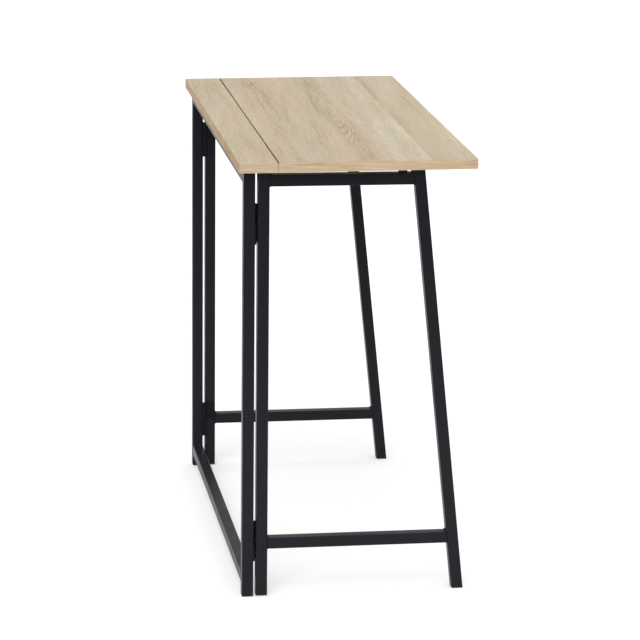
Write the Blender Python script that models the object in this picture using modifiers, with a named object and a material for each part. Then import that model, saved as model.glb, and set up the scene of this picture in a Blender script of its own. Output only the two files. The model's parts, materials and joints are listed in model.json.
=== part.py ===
"""Folding desk: a rear frame with a fixed strip of tabletop, two gate legs that swing on it, and a leaf.

+X runs along the desk's width, +Y to the wall side, +Z up. The origin is on the floor under the middle of the
tabletop. "left" is -X and "right" is +X, as the person at the desk sees them.
"""
import math

import bmesh
import bpy
from mathutils import Matrix

# Tabletop
TOP_WIDTH = 0.800
TOP_DEPTH = 0.390
DESK_HEIGHT = 0.740
BOARD = 0.0165
STRIP_DEPTH = 0.063
SEAM = 0.001
BOARD_EDGE = 0.0008

# Square tube that both frames are welded from
TUBE = 0.019
TUBE_WALL = 0.0012
TUBE_CORNER = 0.0016
SIDE_OVERHANG = 0.0195
REAR_OVERHANG = 0.0099
RAIL_DROP = 0.0036
REAR_RAIL_HEIGHT = 0.021

# Gates
HINGE_GAP = 0.0044
GATE_TOP_GAP = 0.004
GATE_FOOT_LIFT = 0.001
STRETCHER_HEIGHT = 0.0825
GATE_FALL = 0.0014
LEG_SETBACK = 0.005
LEG_LEAN = math.radians(6.2)

# Plastic caps in the tube ends
FOOT_FLANGE = 0.003
TOP_FLANGE = 0.002
CAP_STEM = 0.012
CAP_ROUND = 0.0009

# Flag hinges between the rear frame and the gates
GATE_HINGE_HEIGHT = 0.064
GATE_HINGE_LOW = 0.061
GATE_HINGE_DROP = 0.0585
GATE_PLATE = 0.002
GATE_PLATE_MARGIN = 0.002
GATE_BARREL_RADIUS = 0.0035
GATE_PIN_RADIUS = 0.002
GATE_COLLAR = 0.001
GATE_COLLAR_RADIUS = 0.0031

# Rubber bumper on each gate's top rail
BUMPER_RADIUS = 0.0075
BUMPER_INSET = 0.017
BUMPER_STEM_RADIUS = 0.0025
BUMPER_STEM_LENGTH = 0.006
BUMPER_ROUND = 0.001

# Flat hinges between the strip and the leaf
LEAF_HINGE_INSET = 0.150
LEAF_HINGE_LENGTH = 0.060
LEAF_PLATE = 0.0015
LEAF_PLATE_DEPTH = 0.022
LEAF_BARREL_RADIUS = 0.0025
LEAF_PIN_RADIUS = 0.0012
LEAF_SCREW_SPACING = 0.034
LEAF_SCREW_RADIUS = 0.0015
LEAF_SCREW_HEAD = 0.0029
LEAF_SCREW_DEPTH = 0.010

# Screws and spacers that hold the strip on the rear top rail
STRIP_SCREW_INSET = 0.0725
STRIP_SCREW_RADIUS = 0.002
STRIP_SCREW_HEAD = 0.004
STRIP_SCREW_HEAD_HEIGHT = 0.0024
STRIP_SCREW_HEAD_ROUND = 0.0012
STRIP_SCREW_DEPTH = 0.010
SPACER_RADIUS = 0.007

# Fits
SEAT = 0.0003
RUNNING = 0.0003
ROUND_STEPS = 16
CORNER_STEPS = 3
MERGE = 0.000001

# Levels and lines that several pieces share
UNDERSIDE = DESK_HEIGHT - BOARD
FRAME_EDGE = TOP_WIDTH / 2 - SIDE_OVERHANG
TUBE_X = FRAME_EDGE - TUBE / 2
INNER_X = FRAME_EDGE - TUBE
REAR_FACE = TOP_DEPTH / 2 - REAR_OVERHANG
REAR_FRONT = REAR_FACE - TUBE
GATE_REAR = REAR_FRONT - HINGE_GAP
GATE_FRONT = GATE_REAR - TUBE
SEAM_Y = TOP_DEPTH / 2 - STRIP_DEPTH - SEAM / 2
GATE_TOP = UNDERSIDE - GATE_TOP_GAP
GATE_RAIL_TOP = GATE_TOP - RAIL_DROP
REAR_RAIL_TOP = UNDERSIDE - RAIL_DROP
GATE_AXIS_X = INNER_X - SEAT - GATE_BARREL_RADIUS
GATE_AXIS_Y = REAR_FRONT - HINGE_GAP / 2
GATE_HINGE_HIGH = UNDERSIDE - GATE_HINGE_DROP - GATE_HINGE_HEIGHT
LEAF_AXIS_Z = UNDERSIDE - SEAT - LEAF_BARREL_RADIUS
LEG_DEPTH = TUBE / math.cos(LEG_LEAN)
LEG_SLOPE = math.tan(LEG_LEAN)
LEG_FOOT_Y = -TOP_DEPTH / 2 + LEG_SETBACK + LEG_DEPTH / 2

SIDES = (("left", -1), ("right", 1))


def clear_scene():
    for old in list(bpy.data.objects):
        bpy.data.objects.remove(old, do_unlink=True)


def new_collection(name):
    collection = bpy.data.collections.new(name)
    bpy.context.scene.collection.children.link(collection)
    return collection


def new_material(name, colour, roughness, metallic):
    material = bpy.data.materials.new(name)
    material.use_nodes = True
    material.diffuse_color = (*colour, 1)
    shader = material.node_tree.nodes["Principled BSDF"]
    shader.inputs["Base Color"].default_value = (*colour, 1)
    shader.inputs["Roughness"].default_value = roughness
    shader.inputs["Metallic"].default_value = metallic
    return material


clear_scene()
PARTS = new_collection("folding_desk")
CUTTERS = new_collection("cutters")
OAK = new_material("oak_laminate", (0.578, 0.497, 0.371), 0.45, 0.0)
COAT = new_material("black_powder_coat", (0.022, 0.022, 0.024), 0.5, 0.3)
PLASTIC = new_material("black_plastic", (0.014, 0.014, 0.015), 0.55, 0.0)
RUBBER = new_material("black_rubber", (0.011, 0.011, 0.011), 0.8, 0.0)
ZINC = new_material("zinc_plated_steel", (0.56, 0.56, 0.55), 0.35, 1.0)


def axis_empty(name, location):
    """An empty on a joint's axis, which the pieces of a moving body hang on."""
    empty = bpy.data.objects.new(name, None)
    empty.location = location
    empty.empty_display_size = 0.02
    PARTS.objects.link(empty)
    return empty


def place(mesh_object, location, parent=None, rotation=(0, 0, 0)):
    """Puts an object at a place in the world, on its parent's axis if it has one."""
    mesh_object.rotation_euler = rotation
    mesh_object.location = location
    if parent is not None:
        mesh_object.parent = parent
        mesh_object.matrix_parent_inverse = Matrix.Translation(parent.location).inverted()
    return mesh_object


def finish(mesh_object, material):
    mesh_object.data.materials.append(material)
    mesh_object.data.shade_smooth()
    mesh_object.data.set_sharp_from_angle(angle=math.radians(35))
    PARTS.objects.link(mesh_object)
    return mesh_object


def as_cutter(mesh_object):
    mesh_object.hide_render = True
    mesh_object.display_type = "WIRE"
    CUTTERS.objects.link(mesh_object)
    return mesh_object


def combine(mesh_object, tool, operation):
    boolean = mesh_object.modifiers.new(f"{operation.lower()}_{tool.name}", "BOOLEAN")
    boolean.operation = operation
    boolean.solver = "EXACT"
    boolean.object = tool


def from_bmesh(name, shape):
    mesh = bpy.data.meshes.new(name)
    shape.to_mesh(mesh)
    shape.free()
    return bpy.data.objects.new(name, mesh)


def box(name, size):
    shape = bmesh.new()
    bmesh.ops.create_cube(shape, size=1.0)
    bmesh.ops.scale(shape, vec=size, verts=shape.verts)
    return from_bmesh(name, shape)


def cylinder(name, radius, length):
    shape = bmesh.new()
    bmesh.ops.create_cone(
        shape, cap_ends=True, segments=ROUND_STEPS, radius1=radius, radius2=radius, depth=length)
    return from_bmesh(name, shape)


def turned(name, profile, closed=False):
    """A profile of (radius, height) points turned about Z. It runs down the outer side."""
    shape = bmesh.new()
    verts = [shape.verts.new((radius, 0, height)) for radius, height in profile]
    ends = verts[1:] + verts[:1] if closed else verts[1:]
    for first, second in zip(verts, ends):
        shape.edges.new((first, second))
    turned_object = from_bmesh(name, shape)
    screw = turned_object.modifiers.new("turn", "SCREW")
    screw.steps = ROUND_STEPS
    screw.render_steps = ROUND_STEPS
    screw.use_merge_vertices = True
    screw.merge_threshold = MERGE
    return turned_object


def rounded_outline(width, depth, corner):
    """A rectangle with round corners, centred on the origin."""
    points = []
    for quarter, (side_x, side_y) in enumerate(((1, 1), (-1, 1), (-1, -1), (1, -1))):
        centre_x = side_x * (width / 2 - corner)
        centre_y = side_y * (depth / 2 - corner)
        for step in range(CORNER_STEPS + 1):
            angle = math.pi / 2 * (quarter + step / CORNER_STEPS)
            points.append((centre_x + corner * math.cos(angle), centre_y + corner * math.sin(angle)))
    return points


def drawn_out(name, outlines, length):
    """A flat outline, with inner outlines as holes, drawn out along +Z from z = 0."""
    curve = bpy.data.curves.new(name, "CURVE")
    curve.dimensions = "2D"
    curve.fill_mode = "BOTH"
    curve.extrude = length / 2
    for points in outlines:
        spline = curve.splines.new("POLY")
        spline.points.add(len(points) - 1)
        for point, (x, y) in zip(spline.points, points):
            point.co = (x, y, 0, 1)
        spline.use_cyclic_u = True
    drawing = bpy.data.objects.new(name, curve)
    CUTTERS.objects.link(drawing)
    evaluated = drawing.evaluated_get(bpy.context.evaluated_depsgraph_get())
    shape = bmesh.new()
    shape.from_mesh(bpy.data.meshes.new_from_object(evaluated))
    bpy.data.objects.remove(drawing)
    bmesh.ops.remove_doubles(shape, verts=shape.verts, dist=MERGE)
    bmesh.ops.translate(shape, vec=(0, 0, length / 2), verts=shape.verts)
    bmesh.ops.recalc_face_normals(shape, faces=shape.faces)
    return from_bmesh(name, shape)


def tube(name, length):
    """A length of square tube with open ends, standing on z = 0."""
    inside = TUBE - 2 * TUBE_WALL
    outer = rounded_outline(TUBE, TUBE, TUBE_CORNER)
    inner = rounded_outline(inside, inside, max(TUBE_CORNER - TUBE_WALL, TUBE_WALL / 4))
    return drawn_out(name, (outer, inner), length)


def lean(mesh_object):
    """Leans an upright piece so that its top moves to the rear and its ends stay level."""
    slant = Matrix.Identity(4)
    slant[1][1] = LEG_DEPTH / TUBE
    slant[1][2] = LEG_SLOPE
    mesh_object.data.transform(slant)
    return mesh_object


def leg_centre(height):
    return LEG_FOOT_Y + height * LEG_SLOPE


def end_cap(name, flange, leaning=False):
    """A foot cap: a flange at z = 0 with a round lower edge, and a stem that plugs the tube above it."""
    cap = drawn_out(name, (rounded_outline(TUBE, TUBE, TUBE_CORNER),), flange)
    rounding = cap.modifiers.new("round_edge", "BEVEL")
    rounding.width = min(CAP_ROUND, flange / 2)
    rounding.segments = 2
    rounding.limit_method = "ANGLE"
    rounding.angle_limit = math.radians(60)
    stem_side = TUBE - 2 * TUBE_WALL - 2 * SEAT
    stem_corner = max(TUBE_CORNER - TUBE_WALL - SEAT, TUBE_WALL / 4)
    overlap = flange / 2
    stem = drawn_out(
        f"{name}_stem", (rounded_outline(stem_side, stem_side, stem_corner),), CAP_STEM + overlap)
    stem.data.transform(Matrix.Translation((0, 0, flange - overlap)))
    if leaning:
        lean(cap)
        lean(stem)
    combine(cap, as_cutter(stem), "UNION")
    return cap, stem


def place_cap(name, flange, location, parent=None, upside_down=False, leaning=False):
    cap, stem = end_cap(name, flange, leaning)
    rotation = (math.pi, 0, 0) if upside_down else (0, 0, 0)
    for piece in (cap, stem):
        place(piece, location, parent, rotation)
    return finish(cap, PLASTIC)


def tabletop_board(name, rear, front, parent=None):
    board = box(name, (TOP_WIDTH, rear - front, BOARD))
    edge = board.modifiers.new("round_edge", "BEVEL")
    edge.width = BOARD_EDGE
    edge.segments = 2
    place(board, (0, (rear + front) / 2, UNDERSIDE + BOARD / 2), parent)
    return finish(board, OAK)


def rear_frame():
    upright_length = UNDERSIDE - SEAT - FOOT_FLANGE - SEAT
    rail_length = 2 * (INNER_X - SEAT)
    centre_y = REAR_FRONT + TUBE / 2
    for side, sign in SIDES:
        upright = tube(f"rear_upright_{side}", upright_length)
        place(upright, (sign * TUBE_X, centre_y, FOOT_FLANGE + SEAT))
        finish(upright, COAT)
        place_cap(f"rear_foot_cap_{side}", FOOT_FLANGE, (sign * TUBE_X, centre_y, 0))
    rails = []
    for name, middle in (
            ("rear_top_rail", REAR_RAIL_TOP - TUBE / 2),
            ("rear_bottom_rail", REAR_RAIL_HEIGHT + TUBE / 2)):
        rail = tube(name, rail_length)
        place(rail, (-rail_length / 2, centre_y, middle), rotation=(0, math.pi / 2, 0))
        rails.append(finish(rail, COAT))
    return rails


def strip_fixings(strip, top_rail):
    """Pan-head screws up through the rear top rail, each with a spacer between the rail and the strip."""
    centre_y = REAR_FRONT + TUBE / 2
    head_top = REAR_RAIL_TOP - TUBE - SEAT
    head_bottom = head_top - STRIP_SCREW_HEAD_HEIGHT
    tip = UNDERSIDE + STRIP_SCREW_DEPTH
    hole_radius = STRIP_SCREW_RADIUS + SEAT
    for index in (-1, 0, 1):
        number = index + 2
        place_x = index * (INNER_X - STRIP_SCREW_INSET)
        screw = turned(f"strip_screw_{number}", (
            (0, tip),
            (STRIP_SCREW_RADIUS, tip - STRIP_SCREW_RADIUS),
            (STRIP_SCREW_RADIUS, head_top),
            (STRIP_SCREW_HEAD, head_top),
            (STRIP_SCREW_HEAD, head_bottom + STRIP_SCREW_HEAD_ROUND),
            (STRIP_SCREW_HEAD - STRIP_SCREW_HEAD_ROUND, head_bottom),
            (0, head_bottom)))
        finish(place(screw, (place_x, centre_y, 0)), ZINC)
        spacer = turned(f"strip_spacer_{number}", (
            (SPACER_RADIUS, UNDERSIDE - SEAT),
            (SPACER_RADIUS, REAR_RAIL_TOP + SEAT),
            (hole_radius, REAR_RAIL_TOP + SEAT),
            (hole_radius, UNDERSIDE - SEAT)), closed=True)
        finish(place(spacer, (place_x, centre_y, 0)), PLASTIC)
        hole = as_cutter(cylinder(f"strip_hole_{number}", hole_radius, tip + SEAT - head_top + TUBE))
        place(hole, (place_x, centre_y, (tip + SEAT + head_top - TUBE) / 2))
        combine(strip, hole, "DIFFERENCE")
        combine(top_rail, hole, "DIFFERENCE")


def gate(side, sign, axis):
    """An upright on the hinges, a leaning leg at the front, and a rail and a stretcher between them.
    Both bars fall a little to the leg."""
    upright_foot = GATE_FOOT_LIFT + FOOT_FLANGE + SEAT
    tube_top = GATE_TOP - TOP_FLANGE - SEAT
    upright_y = GATE_FRONT + TUBE / 2
    name = f"gate_{side}"
    x = sign * TUBE_X

    upright = tube(f"{name}_upright", tube_top - upright_foot)
    finish(place(upright, (x, upright_y, upright_foot), axis), COAT)
    place_cap(f"{name}_upright_foot_cap", FOOT_FLANGE, (x, upright_y, GATE_FOOT_LIFT), axis)
    place_cap(f"{name}_upright_top_plug", TOP_FLANGE, (x, upright_y, GATE_TOP), axis, upside_down=True)

    leg_foot = FOOT_FLANGE + SEAT
    leg = lean(tube(f"{name}_leg", tube_top - leg_foot))
    finish(place(leg, (x, leg_centre(leg_foot), leg_foot), axis), COAT)
    place_cap(f"{name}_leg_foot_cap", FOOT_FLANGE, (x, leg_centre(0), 0), axis, leaning=True)
    place_cap(f"{name}_leg_top_plug", TOP_FLANGE, (x, leg_centre(GATE_TOP), GATE_TOP), axis,
              upside_down=True, leaning=True)

    crossbars = {}
    for bar, middle in (("rail", GATE_RAIL_TOP - TUBE / 2), ("stretcher", STRETCHER_HEIGHT + TUBE / 2)):
        rear_end = GATE_FRONT - SEAT
        front_end = leg_centre(middle - GATE_FALL) + LEG_DEPTH / 2 + SEAT / math.cos(LEG_LEAN)
        length = rear_end - front_end
        crossbar = tube(f"{name}_{bar}", length)
        for vertex in crossbar.data.vertices:
            if vertex.co.z > length / 2:
                vertex.co.z -= vertex.co.y * LEG_SLOPE
                vertex.co.y -= GATE_FALL
        place(crossbar, (x, rear_end, middle), axis, rotation=(math.pi / 2, 0, 0))
        crossbars[bar] = finish(crossbar, COAT)
    bumper(f"{name}_bumper", x, axis, crossbars["rail"])


def bumper(name, x, axis, rail):
    """A rubber pad on the top rail, with a stem pushed through a hole in the tube's upper wall."""
    y = leg_centre(GATE_RAIL_TOP) + LEG_DEPTH / 2 + BUMPER_INSET
    reach = GATE_FRONT - y
    rail_top = GATE_RAIL_TOP - GATE_FALL * reach / (reach + BUMPER_INSET)
    top = UNDERSIDE - SEAT
    bottom = rail_top + SEAT
    stem_end = bottom - BUMPER_STEM_LENGTH
    pad = turned(name, (
        (0, top),
        (BUMPER_RADIUS - BUMPER_ROUND, top),
        (BUMPER_RADIUS, top - BUMPER_ROUND),
        (BUMPER_RADIUS, bottom),
        (BUMPER_STEM_RADIUS, bottom),
        (BUMPER_STEM_RADIUS, stem_end),
        (0, stem_end)))
    finish(place(pad, (x, y, 0), axis), RUBBER)
    hole = as_cutter(cylinder(f"{name}_hole", BUMPER_STEM_RADIUS + SEAT, 4 * TUBE_WALL))
    place(hole, (x, y, rail_top), axis)
    combine(rail, hole, "DIFFERENCE")


def gate_hinge(side, sign, level, bottom, axis):
    """A two-knuckle flag hinge: the lower half is on the rear upright, the upper half on the gate."""
    name = f"gate_hinge_{side}_{level}"
    knuckle = (GATE_HINGE_HEIGHT - GATE_COLLAR) / 2 - SEAT
    lower_middle = bottom + knuckle / 2
    upper_middle = bottom + GATE_HINGE_HEIGHT - knuckle / 2
    axis_x = sign * GATE_AXIS_X
    reach = FRAME_EDGE - GATE_PLATE_MARGIN - GATE_AXIS_X

    frame_half = box(f"{name}_frame_half", (reach, GATE_PLATE, knuckle))
    place(frame_half, (
        axis_x + sign * reach / 2, REAR_FRONT - SEAT - GATE_PLATE / 2, lower_middle))

    gate_reach = GATE_AXIS_Y - GATE_FRONT - GATE_PLATE_MARGIN
    gate_half = box(f"{name}_gate_half", (GATE_PLATE, gate_reach, knuckle))
    place(gate_half, (
        sign * (INNER_X - SEAT - GATE_PLATE / 2), GATE_AXIS_Y - gate_reach / 2, upper_middle), axis)

    bore = as_cutter(cylinder(f"{name}_bore", GATE_PIN_RADIUS + RUNNING, 2 * GATE_HINGE_HEIGHT))
    place(bore, (axis_x, GATE_AXIS_Y, bottom + GATE_HINGE_HEIGHT / 2))
    for half, middle, parent in ((frame_half, lower_middle, None), (gate_half, upper_middle, axis)):
        barrel = as_cutter(cylinder(f"{half.name}_barrel", GATE_BARREL_RADIUS, knuckle))
        place(barrel, (axis_x, GATE_AXIS_Y, middle), parent)
        combine(half, barrel, "UNION")
        combine(half, bore, "DIFFERENCE")
        finish(half, COAT)

    collar_top = bottom + GATE_HINGE_HEIGHT / 2 + GATE_COLLAR / 2
    collar_bottom = collar_top - GATE_COLLAR
    pin_top = bottom + GATE_HINGE_HEIGHT
    pin = turned(f"{name}_pin", (
        (0, pin_top),
        (GATE_PIN_RADIUS, pin_top),
        (GATE_PIN_RADIUS, collar_top),
        (GATE_COLLAR_RADIUS, collar_top),
        (GATE_COLLAR_RADIUS, collar_bottom),
        (GATE_PIN_RADIUS, collar_bottom),
        (GATE_PIN_RADIUS, bottom),
        (0, bottom)))
    finish(place(pin, (axis_x, GATE_AXIS_Y, 0)), ZINC)


def leaf_hinge_screw(name, x, y, parent, cut_pieces):
    """A countersunk screw from below, and the hole that it needs in the plate and the board."""
    head = UNDERSIDE - SEAT - LEAF_PLATE
    tip = UNDERSIDE + LEAF_SCREW_DEPTH
    cone = LEAF_SCREW_HEAD - LEAF_SCREW_RADIUS

    def profile(grow):
        return (
            (0, tip + grow),
            (LEAF_SCREW_RADIUS + grow, tip - LEAF_SCREW_RADIUS + grow),
            (LEAF_SCREW_RADIUS + grow, head + cone),
            (LEAF_SCREW_HEAD + grow, head - grow),
            (0, head - grow))

    screw = turned(name, profile(0))
    finish(place(screw, (x, y, 0), parent), ZINC)
    hole = as_cutter(turned(f"{name}_hole", profile(SEAT)))
    place(hole, (x, y, 0), parent)
    for piece in cut_pieces:
        combine(piece, hole, "DIFFERENCE")


def leaf_hinge(side, sign, strip, leaf, axis):
    """A flat hinge under the seam: the strip's plate has the outer knuckles, the leaf's the middle one."""
    name = f"leaf_hinge_{side}"
    x = sign * (TOP_WIDTH / 2 - LEAF_HINGE_INSET)
    knuckle = LEAF_HINGE_LENGTH / 3 - 2 * SEAT
    plate_z = UNDERSIDE - SEAT - LEAF_PLATE / 2
    plate_start = LEAF_BARREL_RADIUS + SEAT
    on_side = (0, math.pi / 2, 0)

    bore = as_cutter(cylinder(f"{name}_bore", LEAF_PIN_RADIUS + RUNNING, 2 * LEAF_HINGE_LENGTH))
    place(bore, (x, SEAM_Y, LEAF_AXIS_Z), rotation=on_side)
    halves = (
        ("strip", 1, strip, None, (-1, 1)),
        ("leaf", -1, leaf, axis, (0,)))
    for board_name, towards, board, parent, knuckle_places in halves:
        depth = LEAF_PLATE_DEPTH - plate_start
        plate = box(f"{name}_{board_name}_plate", (LEAF_HINGE_LENGTH, depth, LEAF_PLATE))
        place(plate, (x, SEAM_Y + towards * (plate_start + depth / 2), plate_z), parent)
        for index in knuckle_places:
            knuckle_x = x + index * LEAF_HINGE_LENGTH / 3
            barrel = as_cutter(cylinder(f"{plate.name}_barrel_{index + 2}", LEAF_BARREL_RADIUS, knuckle))
            place(barrel, (knuckle_x, SEAM_Y, LEAF_AXIS_Z), parent, rotation=on_side)
            tongue = as_cutter(box(
                f"{plate.name}_tongue_{index + 2}", (knuckle, 2 * plate_start, LEAF_PLATE)))
            place(tongue, (knuckle_x, SEAM_Y + towards * plate_start, plate_z), parent)
            combine(plate, tongue, "UNION")
            combine(plate, barrel, "UNION")
        combine(plate, bore, "DIFFERENCE")
        finish(plate, ZINC)
        screw_y = SEAM_Y + towards * (plate_start + depth / 2)
        for number, end in enumerate((-1, 1), start=1):
            leaf_hinge_screw(
                f"{name}_{board_name}_screw_{number}", x + end * LEAF_SCREW_SPACING / 2, screw_y, parent,
                (plate, board))

    pin = cylinder(f"{name}_pin", LEAF_PIN_RADIUS, LEAF_HINGE_LENGTH)
    finish(place(pin, (x, SEAM_Y, LEAF_AXIS_Z), rotation=on_side), ZINC)


leaf_axis = axis_empty("leaf_axis", (0, SEAM_Y, LEAF_AXIS_Z))
top_strip = tabletop_board("top_strip", TOP_DEPTH / 2, SEAM_Y + SEAM / 2)
top_leaf = tabletop_board("top_leaf", SEAM_Y - SEAM / 2, -TOP_DEPTH / 2, leaf_axis)
rear_top_rail, rear_bottom_rail = rear_frame()
strip_fixings(top_strip, rear_top_rail)
for side_name, side_sign in SIDES:
    gate_axis = axis_empty(f"gate_{side_name}_axis", (side_sign * GATE_AXIS_X, GATE_AXIS_Y, 0))
    gate(side_name, side_sign, gate_axis)
    gate_hinge(side_name, side_sign, "lower", GATE_HINGE_LOW, gate_axis)
    gate_hinge(side_name, side_sign, "upper", GATE_HINGE_HIGH, gate_axis)
    leaf_hinge(side_name, side_sign, top_strip, top_leaf, leaf_axis)
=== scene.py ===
import json
import math

import bmesh
import bpy
from mathutils import Matrix, Vector

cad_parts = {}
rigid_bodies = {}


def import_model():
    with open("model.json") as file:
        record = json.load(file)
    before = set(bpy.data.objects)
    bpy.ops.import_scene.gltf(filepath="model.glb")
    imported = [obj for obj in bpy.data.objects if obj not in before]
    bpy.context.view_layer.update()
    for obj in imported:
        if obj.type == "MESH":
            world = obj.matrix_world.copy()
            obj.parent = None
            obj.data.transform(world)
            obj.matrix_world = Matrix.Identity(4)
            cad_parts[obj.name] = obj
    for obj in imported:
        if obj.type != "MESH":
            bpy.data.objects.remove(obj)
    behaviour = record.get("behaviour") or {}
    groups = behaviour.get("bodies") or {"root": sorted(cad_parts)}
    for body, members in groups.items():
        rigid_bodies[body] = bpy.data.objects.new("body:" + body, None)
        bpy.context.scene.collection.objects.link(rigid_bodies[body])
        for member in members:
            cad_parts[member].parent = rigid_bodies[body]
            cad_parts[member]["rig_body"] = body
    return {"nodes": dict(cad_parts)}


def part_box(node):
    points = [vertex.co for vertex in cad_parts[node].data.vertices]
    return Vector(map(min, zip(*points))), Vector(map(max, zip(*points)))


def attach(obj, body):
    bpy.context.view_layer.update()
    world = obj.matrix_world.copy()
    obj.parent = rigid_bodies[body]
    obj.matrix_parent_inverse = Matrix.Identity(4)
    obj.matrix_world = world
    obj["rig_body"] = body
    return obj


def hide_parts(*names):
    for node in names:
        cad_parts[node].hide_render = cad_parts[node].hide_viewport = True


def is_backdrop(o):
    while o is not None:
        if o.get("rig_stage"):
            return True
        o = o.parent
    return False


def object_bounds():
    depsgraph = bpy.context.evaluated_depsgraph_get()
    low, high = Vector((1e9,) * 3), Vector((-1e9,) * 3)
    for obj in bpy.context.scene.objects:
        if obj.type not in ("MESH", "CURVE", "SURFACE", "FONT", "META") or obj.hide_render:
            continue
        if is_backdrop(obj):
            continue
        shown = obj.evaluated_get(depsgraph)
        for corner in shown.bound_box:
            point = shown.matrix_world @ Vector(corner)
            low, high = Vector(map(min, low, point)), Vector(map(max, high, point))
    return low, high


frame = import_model()
cad_low, cad_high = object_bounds()


# Rear frame: two uprights and two rails of square steel tube, sawn square, butt welded and powder coated
# black. The coat is matt, with a fine grain of its own. It is a little thinner and paler on the tube's round
# corners. Towards the floor it is painted paler: painted light for the light that the white floor throws up,
# and for the shade under the tabletop higher up.
TUBE_CORNER = 0.0016
TUBE_WALL = 0.0012
SAWN_EDGE = 0.0003
CORNER_STEPS = 6
SHARP_FROM = math.radians(38)
MERGE_WITHIN = 0.000002
COAT_BLACK = (0.0110, 0.0118, 0.0148, 1)
COAT_THIN = (0.020, 0.021, 0.025, 1)
COAT_LIT_LOW = (0.0195, 0.0208, 0.0251, 1)
COAT_SHEEN = 0.05
THIN_EDGES = 0.7
THIN_EDGE_SIZE = 0.02
THIN_PATCHES = 0.12
# Heights where the paler colour, painted light towards the floor, starts and where it is full.
PAINTED_LIGHT_TOP = 0.72
PAINTED_LIGHT_FULL = 0.22
ACROSS = Vector((1, 0, 0))
REARWARD = Vector((0, 1, 0))
UP = Vector((0, 0, 1))


def add(tree, kind, feeds=None, **settings):
    """Adds a shader node with its settings, and feeds its inputs with values or other nodes' sockets."""
    node = tree.nodes.new(kind)
    for setting, value in settings.items():
        setattr(node, setting, value)
    for socket, value in (feeds or {}).items():
        if isinstance(value, bpy.types.NodeSocket):
            tree.links.new(value, node.inputs[socket])
        else:
            node.inputs[socket].default_value = value
    return node


def calc(tree, operation, first, second=0.0):
    """The result of one step of arithmetic."""
    return add(tree, "ShaderNodeMath", {0: first, 1: second}, operation=operation).outputs[0]


def spread(tree, value, start, end, low=0.0, high=1.0, smooth=False):
    """Spreads a value that runs from start to end over low to high, and holds it there beyond the ends."""
    return add(
        tree, "ShaderNodeMapRange",
        {"Value": value, "From Min": start, "From Max": end, "To Min": low, "To Max": high},
        interpolation_type="SMOOTHSTEP" if smooth else "LINEAR").outputs[0]


def mixed(tree, share, first, second, blend="MIX"):
    """Blends a share of the second colour with the first."""
    feeds = {0: share, 6: first, 7: second}
    return add(tree, "ShaderNodeMix", feeds, data_type="RGBA", blend_type=blend).outputs[2]


def coordinates(tree, kind="Object"):
    """The three parts of the place of a point on the surface, or of the way that it faces."""
    given = add(tree, "ShaderNodeTexCoord").outputs[kind]
    return add(tree, "ShaderNodeSeparateXYZ", {0: given}).outputs


def clouds(tree, size, detail):
    """Soft noise over the surface, in clouds of about a size."""
    place = add(tree, "ShaderNodeTexCoord").outputs["Object"]
    scale = calc(tree, "DIVIDE", 1.0, size)
    return add(tree, "ShaderNodeTexNoise", {"Vector": place, "Scale": scale, "Detail": detail}).outputs[0]


def new_group(name, inputs, outputs):
    """An empty node group with named number sockets, and the sockets that its nodes read and write."""
    tree = bpy.data.node_groups.new(name, "ShaderNodeTree")
    for label, value in inputs.items():
        socket = tree.interface.new_socket(label, in_out="INPUT", socket_type="NodeSocketFloat")
        socket.default_value = value
    for label in outputs:
        tree.interface.new_socket(label, in_out="OUTPUT", socket_type="NodeSocketFloat")
    return tree, tree.nodes.new("NodeGroupInput").outputs, tree.nodes.new("NodeGroupOutput").inputs


def new_finish(name):
    """A new material, with its tree of nodes and the shader in it."""
    material = bpy.data.materials.new(name)
    material.use_nodes = True
    return material, material.node_tree, material.node_tree.nodes["Principled BSDF"]


# surface_grain is the fine grain of a sprayed or moulded surface, and the broad patches where it is duller.
surface_grain, given, made = new_group(
    "surface_grain", {"Grain": 0.001, "Patch": 0.05}, ("Height", "Patches"))
surface_grain.links.new(clouds(surface_grain, given["Grain"], 3.0), made["Height"])
surface_grain.links.new(clouds(surface_grain, given["Patch"], 2.0), made["Patches"])

# edge_wear marks the broken line along an edge where a finish is thin or rubbed.
edge_wear, given, made = new_group("edge_wear", {"Edge": 0.0, "Amount": 0.5, "Size": 0.01}, ("Worn",))
rubs = spread(edge_wear, clouds(edge_wear, given["Size"], 4.0), 0.35, 0.70)
broken_up = calc(edge_wear, "MULTIPLY", given["Edge"], rubs)
edge_wear.links.new(calc(edge_wear, "MULTIPLY", broken_up, given["Amount"]), made["Worn"])

# This group is painted light: a paler share of colour on upright surfaces that grows towards the floor, a
# little uneven, for the light that the floor throws up and the shade under the tabletop.
painted_floor_light, given, made = new_group("painted_floor_light", {"Top": 0.7, "Full": 0.2, "Size": 0.03}, ("Painted_light",))
lighter_low = spread(painted_floor_light, coordinates(painted_floor_light)["Z"], given["Top"], given["Full"])
uneven_lighter_low = spread(painted_floor_light, clouds(painted_floor_light, given["Size"], 3.0), 0.3, 0.7, 0.85, 1.0)
painted_floor_light.links.new(calc(painted_floor_light, "MULTIPLY", lighter_low, uneven_lighter_low), made["Painted_light"])


def grained(tree, shader, grain, patch, depth, strength, smoothest, dullest):
    """Gives a finish its fine grain and the duller patches in it, and returns where the patches are."""
    surface = add(tree, "ShaderNodeGroup", {"Grain": grain, "Patch": patch}, node_tree=surface_grain).outputs
    bump = add(tree, "ShaderNodeBump", {
        "Height": surface["Height"], "Strength": strength, "Distance": depth})
    tree.links.new(bump.outputs["Normal"], shader.inputs["Normal"])
    rough = spread(tree, surface["Patches"], 0.3, 0.7, smoothest, dullest)
    tree.links.new(rough, shader.inputs["Roughness"])
    return surface["Patches"]


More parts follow.
